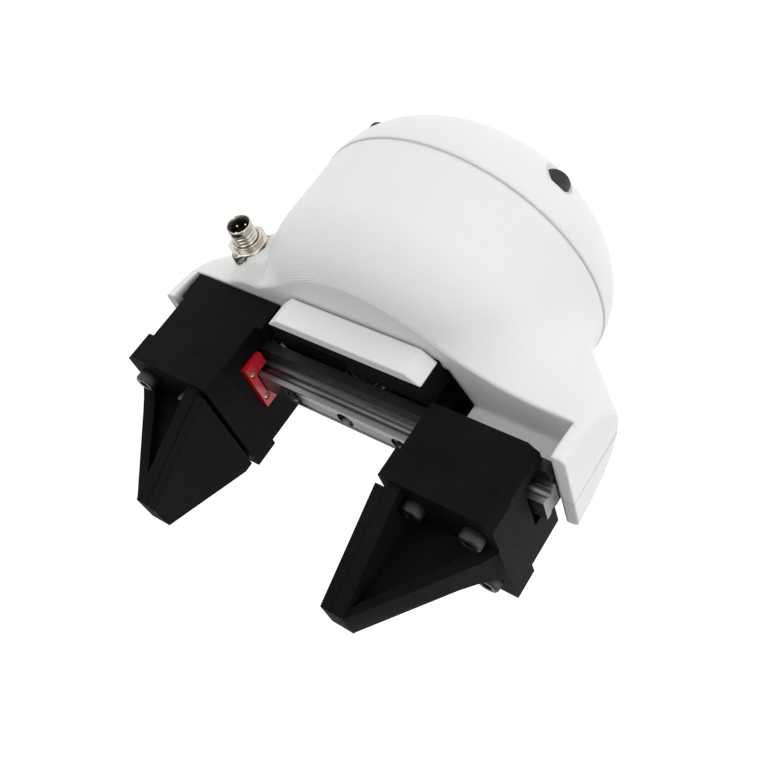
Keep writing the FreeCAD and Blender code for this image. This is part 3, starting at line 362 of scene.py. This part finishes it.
def make_materials():
    """Every slot's material, by the slot's name."""
    dark_steel = cast_paint("dark_steel", (0.016, 0.016, 0.018), (0.009, 0.009, 0.010), 0.46)
    rotor = cast_paint("rotor_paint", (0.050, 0.050, 0.053), (0.030, 0.030, 0.032), 0.35)
    chip = moulded("chip_plastic", (0.016, 0.016, 0.017), (0.008, 0.008, 0.009), 0.45)
    gasket = moulded("gasket_rubber", (0.012, 0.012, 0.012), (0.006, 0.006, 0.006), 0.62)
    pad = moulded("pad_elastomer", (0.0050, 0.0050, 0.0054), (0.0026, 0.0026, 0.0029), 0.66, 1200, 0.00004)
    return {
        "white_print": white_print(),
        "black_print": black_print(),
        "rail_steel": ground_steel("rail_steel", (0.30, 0.30, 0.305), (0.16, 0.16, 0.165), 0.30),
        "dark_steel": dark_steel.settings(Metallic=0.0, Specular_IOR_Level=0.25),
        "black_screw": oxide_screw(),
        "aluminium": ground_steel("aluminium", (0.76, 0.77, 0.78), (0.60, 0.61, 0.62), 0.33),
        "brass": bright_metal("brass", (0.80, 0.60, 0.28), (0.58, 0.41, 0.17), 0.30),
        "core_steel": laminated_steel(),
        "copper": wound_copper(),
        "bearing_steel": bright_metal("bearing_steel", (0.74, 0.75, 0.76), (0.55, 0.56, 0.57), 0.22),
        "circuit_board": board_mask(),
        "chip_plastic": chip.material,
        "nickel": bright_metal("nickel", (0.74, 0.70, 0.62), (0.50, 0.46, 0.39), 0.20),
        "gasket_rubber": gasket.material,
        "contact_gold": bright_metal("contact_gold", (0.93, 0.84, 0.58), (0.80, 0.68, 0.40), 0.16),
        "rotor_paint": rotor.settings(Metallic=0.4),
        "magnet": bright_metal("magnet", (0.62, 0.62, 0.63), (0.42, 0.42, 0.43), 0.24),
        "gear_steel": ground_steel("gear_steel", (0.58, 0.58, 0.59), (0.34, 0.34, 0.35), 0.34),
        "carriage_steel": ground_steel("carriage_steel", (0.66, 0.66, 0.67), (0.48, 0.48, 0.49), 0.26),
        "red_plastic": red_plastic(),
        "zinc_screw": bright_metal("zinc_screw", (0.80, 0.78, 0.70), (0.56, 0.54, 0.48), 0.22),
        "pad_elastomer": pad.settings(Specular_IOR_Level=0.07),
    }


MATERIALS = make_materials()


def paint_frame():
    """Give every CAD node the material of its slot."""
    for name, node in frame["nodes"].items():
        node.data.materials.clear()
        node.data.materials.append(MATERIALS[SLOT_OF[name]])


# ---------------------------------------------------------------- pieces
def finish_piece(name, shape, node, smooth_under=35):
    """Turn a bmesh into a piece that stands for a CAD node."""
    mesh = bpy.data.meshes.new(name)
    bmesh.ops.recalc_face_normals(shape, faces=shape.faces)
    shape.to_mesh(mesh)
    shape.free()
    for face in mesh.polygons:
        face.use_smooth = True
    mesh.set_sharp_from_angle(angle=math.radians(smooth_under))
    mesh.materials.append(MATERIALS[SLOT_OF[node]])
    piece = bpy.data.objects.new(name, mesh)
    bpy.context.scene.collection.objects.link(piece)
    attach(piece, BODY_OF[node])
    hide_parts(node)
    return piece


def softened(node, width, sharp=32):
    """A copy of a CAD node with its corners rounded by a small bevel."""
    shape = bmesh.new()
    shape.from_mesh(frame["nodes"][node].data)
    bmesh.ops.remove_doubles(shape, verts=shape.verts, dist=2e-6)
    bmesh.ops.dissolve_limit(shape, angle_limit=math.radians(1.0), verts=shape.verts, edges=shape.edges)
    piece = finish_piece(node + "_piece", shape, node)
    bevel = piece.modifiers.new("round_corners", "BEVEL")
    bevel.width = width
    bevel.segments = 2
    bevel.limit_method = "ANGLE"
    bevel.angle_limit = math.radians(sharp)
    bevel.use_clamp_overlap = True
    return piece


def skin_rings(shape, rings, frame_at, close_ends=True):
    """Join rings of (radius, height) pairs into a skin; frame_at places the local axis in the row."""
    made = []
    for ring in rings:
        count = len(ring)
        verts = []
        for i, (radius, height) in enumerate(ring):
            angle = FULL_TURN * i / count
            local = Vector((radius * math.cos(angle), radius * math.sin(angle), height))
            verts.append(shape.verts.new(frame_at @ local))
        made.append(verts)
    for low, high in zip(made, made[1:]):
        for i in range(len(low)):
            j = (i + 1) % len(low)
            shape.faces.new((low[i], low[j], high[j], high[i]))
    if close_ends:
        for verts, height in ((made[0], rings[0][0][1]), (made[-1], rings[-1][0][1])):
            middle_vert = shape.verts.new(frame_at @ Vector((0, 0, height)))
            for i in range(len(verts)):
                shape.faces.new((verts[i], verts[(i + 1) % len(verts)], middle_vert))


def circle(radius, height, count):
    """A plain ring of points."""
    return [(radius, height)] * count


def hexagon(apothem, height, count, limit=None):
    """A six-sided ring, cut back to a circle of radius limit when one is given."""
    points = []
    for i in range(count):
        turn = (FULL_TURN * i / count) % (math.pi / 3) - math.pi / 6
        radius = apothem / math.cos(turn)
        points.append((min(radius, limit) if limit else radius, height))
    return points


def knurled(radius, height, count, depth):
    """A ring of fine ridges."""
    return [(radius - (depth if i % 2 else 0.0), height) for i in range(count)]


def socket_screw(shape, frame_at, head, rise, thread, length, socket):
    """A socket cap screw with a knurled head, from the underside of its head; sizes in metres."""
    count = ROUND_COUNT
    ridge = head * 0.045
    rings = [circle(thread * 0.7, -length, count), circle(thread, -length + thread * 0.3, count),
             circle(thread, 0.0, count), circle(head * 0.94, 0.0, count),
             circle(head * 0.97, rise * 0.06, count)]
    rings += [knurled(head, rise * 0.10, count, ridge), knurled(head, rise * 0.84, count, ridge)]
    rings += [circle(head * 0.955, rise * 0.90, count), circle(head * 0.86, rise, count),
              circle(socket * 1.22, rise, count), hexagon(socket, rise * 0.93, count),
              hexagon(socket, rise * 0.48, count), circle(socket * 0.5, rise * 0.42, count)]
    skin_rings(shape, rings, frame_at)


def screws_for(node, rise, thread, socket, up=True):
    """Detailed screws in place of one CAD node of socket screws along Z."""
    shape = bmesh.new()
    for low, high in solids_of(node):
        centre = (low + high) / 2
        head = (high.x - low.x) / 2
        length = high.z - low.z - rise * MM
        seat = high.z - rise * MM if up else low.z + rise * MM
        turn = Matrix.Identity(4) if up else Matrix.Rotation(math.pi, 4, "X")
        place = Matrix.Translation((centre.x, centre.y, seat)) @ turn
        socket_screw(shape, place, head, rise * MM, thread * MM, length, socket * MM)
    finish_piece(node + "_piece", shape, node, 30)


def cross_screws(node):
    """Small domed screws with a cross recess, along X, in place of plain heads."""
    shape = bmesh.new()
    count = 32
    spread = middle(node)
    for low, high in solids_of(node):
        centre = (low + high) / 2
        radius = (high.y - low.y) / 2
        deep = (high.x - low.x)
        outward = 1.0 if centre.x > spread.x else -1.0
        turn = Matrix.Rotation(outward * math.pi / 2, 4, "Y")
        place = Matrix.Translation((centre.x - outward * deep / 2, centre.y, centre.z)) @ turn
        rings = [circle(radius * 0.96, 0.0, count), circle(radius, deep * 0.1, count),
                 circle(radius, deep * 0.6, count)]
        for share in (0.92, 0.78, 0.62, 0.56, 0.38, 0.20):
            ring = []
            for i in range(count):
                angle = FULL_TURN * i / count
                across = abs(math.sin(2 * angle)) * share
                sunk = deep * 0.55 if share < 0.6 and across < 0.34 else 0.0
                ring.append((radius * share, deep * (1.0 - 0.4 * share * share) - sunk))
            rings.append(ring)
        skin_rings(shape, rings, place)
    finish_piece(node + "_piece", shape, node, 30)


# ---------------------------------------------------------------- connector
HEX_SHARE = 0.667       # share of the nut's thickness that is hexagonal, under its round collar
COLLAR_RATIO = 1.225    # collar's radius over the thread's
THREAD_PITCH = 1.35
THREAD_DEPTH = 0.6
RIM = 1.7               # plain rim in front of the thread, in millimetres
KEY_HALF_ANGLE = 24     # notch under the rim, in degrees
KEY_ANGLE = 215


def thread_place(node, low_y):
    """The connector's axis: local Z runs along the row's +Y from a height on it."""
    centre = middle(node)
    return Matrix.Translation((centre.x, low_y, centre.z)) @ Matrix.Rotation(-math.pi / 2, 4, "X")


def connector_barrel():
    """Threaded barrel with a plain rim, a key mark under the rim and an open bore."""
    node = "connector_barrel"
    low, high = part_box(node)
    outer = (high.x - low.x) / 2
    length = high.y - low.y
    bore = outer * 0.875
    count = 96
    shape = bmesh.new()
    rings = [circle(bore, 0.0, count), circle(outer - THREAD_DEPTH * MM, 0.0, count)]
    steps_per_turn = 8
    threaded = length - RIM * MM
    steps = int(threaded / (THREAD_PITCH * MM) * steps_per_turn)
    for k in range(steps + 1):
        height = threaded * k / steps
        fade = min(1.0, (steps - k) / 3.0, k / 3.0 + 0.2)
        ring = []
        for i in range(count):
            phase = (height / (THREAD_PITCH * MM) - i / count) % 1.0
            groove = 0.5 + 0.5 * math.cos(FULL_TURN * phase)
            depth = THREAD_DEPTH * MM * (groove ** 0.8 * fade + 0.25 * (1 - fade))
            ring.append((outer - depth, height))
        rings.append(ring)
    for start, sunk in ((0.05, 0.0), (0.12, 0.6), (0.42, 0.6), (0.50, 0.0), (0.93, 0.0)):
        ring = []
        for i in range(count):
            away = abs((math.degrees(FULL_TURN * i / count) - KEY_ANGLE + 180) % 360 - 180)
            drop = sunk * MM if away < KEY_HALF_ANGLE else 0.0
            ring.append((outer - drop, threaded + RIM * MM * start))
        rings.append(ring)
    rings += [circle(outer - 0.12 * MM, length, count), circle(bore + 0.12 * MM, length, count),
              circle(bore, length - 0.15 * MM, count), circle(bore, 0.0, count)]
    skin_rings(shape, rings, thread_place(node, low.y), False)
    bmesh.ops.remove_doubles(shape, verts=shape.verts, dist=1e-7)
    finish_piece(node + "_piece", shape, node, 50)


def connector_nut():
    """Hexagonal panel nut, chamfered towards the tip, with a round collar on its outer face."""
    node = "connector_nut"
    low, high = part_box(node)
    corner = (high.x - low.x) / 2
    apothem = corner * math.cos(math.pi / 6)
    rise = (high.y - low.y) * HEX_SHARE
    top = high.y - low.y
    thread = (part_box("connector_barrel")[1].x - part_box("connector_barrel")[0].x) / 2
    collar = thread * COLLAR_RATIO
    count = ROUND_COUNT
    shape = bmesh.new()
    rings = [circle(thread, 0.0, count), hexagon(apothem, 0.0, count)]
    for share in (0.62, 0.72, 0.80, 0.88, 0.94, 1.0):
        limit = apothem * 0.965 + (1.0 - share) * rise * 1.5
        rings.append(hexagon(apothem, rise * share, count, limit))
    rings += [circle(collar, rise, count), circle(collar, top - 0.25 * MM, count),
              circle(collar - 0.25 * MM, top, count), circle(thread + 0.3 * MM, top, count),
              circle(thread, top - 0.3 * MM, count), circle(thread, 0.0, count)]
    turn = Matrix.Rotation(math.pi / 6, 4, "Z")
    skin_rings(shape, rings, thread_place(node, low.y) @ turn, False)
    bmesh.ops.remove_doubles(shape, verts=shape.verts, dist=1e-7)
    finish_piece(node + "_piece", shape, node, 25)


def connector_pins():
    """Contact pins with rounded tips."""
    node = "connector_pins"
    shape = bmesh.new()
    count = 24
    for low, high in solids_of(node):
        radius = (high.x - low.x) / 2
        length = high.y - low.y
        centre = (low + high) / 2
        place = Matrix.Translation((centre.x, low.y, centre.z)) @ Matrix.Rotation(-math.pi / 2, 4, "X")
        rings = [circle(radius, 0.0, count), circle(radius, length - radius, count)]
        for k in range(1, 6):
            angle = math.radians(15 * k)
            rings.append(circle(radius * math.cos(angle), length - radius + radius * math.sin(angle), count))
        skin_rings(shape, rings, place)
    finish_piece(node + "_piece", shape, node, 40)


def connector_gasket():
    """Rubber ring with a rounded rim, under the nut."""
    node = "connector_gasket"
    low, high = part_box(node)
    outer = (high.x - low.x) / 2
    rise = high.y - low.y
    inner = (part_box("connector_barrel")[1].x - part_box("connector_barrel")[0].x) / 2
    count = ROUND_COUNT
    shape = bmesh.new()
    rings = [circle(inner, 0.0, count), circle(outer - 0.1 * MM, 0.0, count)]
    for k in range(1, 6):
        bulge = math.sin(math.pi * k / 6)
        rings.append(circle(outer - 0.25 * MM * (1 - bulge), rise * k / 6, count))
    rings += [circle(outer - 0.2 * MM, rise, count), circle(inner, rise, count), circle(inner, 0.0, count)]
    skin_rings(shape, rings, thread_place(node, low.y), False)
    bmesh.ops.remove_doubles(shape, verts=shape.verts, dist=1e-7)
    finish_piece(node + "_piece", shape, node, 40)


def make_pieces():
    """Detailed pieces in place of the plain CAD solids."""
    for side in SIDES:
        softened(side + "_jaw", 0.35 * MM)
        softened(side + "_finger", 0.3 * MM)
        softened(side + "_pad", 0.3 * MM)
        softened(side + "_end_caps", 0.25 * MM)
        softened(side + "_carriage", 0.25 * MM)
        screws_for(side + "_finger_screws", 3.6, 1.6, 1.56)
        screws_for(side + "_jaw_screws", 2.2, 1.5, 1.2)
        cross_screws(side + "_cap_screws")
    softened("nose_block", 0.3 * MM)
    softened("nose_cap", 0.35 * MM)
    softened("guide_rail", 0.15 * MM)
    softened("rail_beam", 0.3 * MM)
    screws_for("cap_screws", 5.0, 2.5, 2.0, up=False)
    screws_for("rail_screws", 3.0, 1.5, 1.2)
    screws_for("flange_screws", 3.0, 1.25, 1.2, up=False)
    connector_barrel()
    connector_nut()
    connector_pins()
    connector_gasket()


# ---------------------------------------------------------------- camera, light and floor
def make_camera():
    """The camera looks down on the gripper's connector side from beyond the finger tips."""
    data = bpy.data.cameras.new("camera")
    data.sensor_width = 36
    data.lens = 47.2
    data.clip_start = 0.01
    data.clip_end = 50
    camera = bpy.data.objects.new("camera", data)
    right = Vector((0.8015, -0.2578, -0.5396)).normalized()
    back = Vector((0.4920, 0.7973, 0.3497)).normalized()
    up = back.cross(right).normalized()
    right = up.cross(back).normalized()
    turn = Matrix((right, up, back)).transposed().to_4x4()
    camera.matrix_world = Matrix.Translation((0.15237, 0.24081, 0.1834)) @ turn
    bpy.context.scene.collection.objects.link(camera)
    bpy.context.scene.camera = camera


def area_light(name, place, target, size, power):
    """A round soft light that faces a target; size in metres, power in watts."""
    data = bpy.data.lights.new(name, "AREA")
    data.shape = "DISK"
    data.size = size
    data.energy = power
    light = bpy.data.objects.new(name, data)
    aim = Vector(target) - Vector(place)
    light.matrix_world = Matrix.Translation(place) @ aim.to_track_quat("-Z", "Y").to_matrix().to_4x4()
    bpy.context.scene.collection.objects.link(light)


def make_lights():
    """Four soft lights around the gripper's middle and a white surround."""
    target = (0, 0, 0.07)
    area_light("key", (-0.25, 1.0, 0.75), target, 0.9, 3.0)
    area_light("right_fill", (1.1, 0.35, 0.35), target, 0.8, 3.0)
    area_light("left_fill", (-1.1, 0.2, 0.5), target, 0.9, 0.8)
    area_light("back_fill", (0.1, -1.0, 0.8), target, 1.0, 1.5)
    world = bpy.data.worlds.new("studio")
    world.use_nodes = True
    background = world.node_tree.nodes["Background"]
    background.inputs["Color"].default_value = (1, 1, 1, 1)
    background.inputs["Strength"].default_value = 0.32
    bpy.context.scene.world = world


def make_floor():
    """A round pale floor whose edge curves up into a low wall."""
    flat = 4.0
    curve = 1.5
    rise = 0.6
    profile = [(0.0, 0.0), (flat, 0.0)]
    for k in range(1, 13):
        angle = math.radians(7.5 * k)
        profile.append((flat + curve * math.sin(angle), curve * (1 - math.cos(angle))))
    profile.append((flat + curve, curve + rise))
    shape = bmesh.new()
    rings = [circle(max(radius, 0.001), height, 96) for radius, height in profile]
    skin_rings(shape, rings, Matrix.Identity(4), False)
    hub = [edge for edge in shape.edges if max(vert.co.length for vert in edge.verts) < 0.01]
    bmesh.ops.contextual_create(shape, geom=hub)
    mesh = bpy.data.meshes.new("floor")
    bmesh.ops.recalc_face_normals(shape, faces=shape.faces)
    shape.to_mesh(mesh)
    shape.free()
    for face in mesh.polygons:
        face.use_smooth = True
    looks = Looks("floor")
    looks.colour((0.30, 0.30, 0.30))
    looks.rough(0.9)
    looks.settings(Emission_Color=(1, 1, 1, 1), Emission_Strength=0.92)
    mesh.materials.append(looks.material)
    floor = bpy.data.objects.new("floor", mesh)
    bpy.context.scene.collection.objects.link(floor)


bpy.context.scene.view_settings.view_transform = "Standard"
make_camera()
make_lights()
make_floor()
paint_frame()
make_pieces()
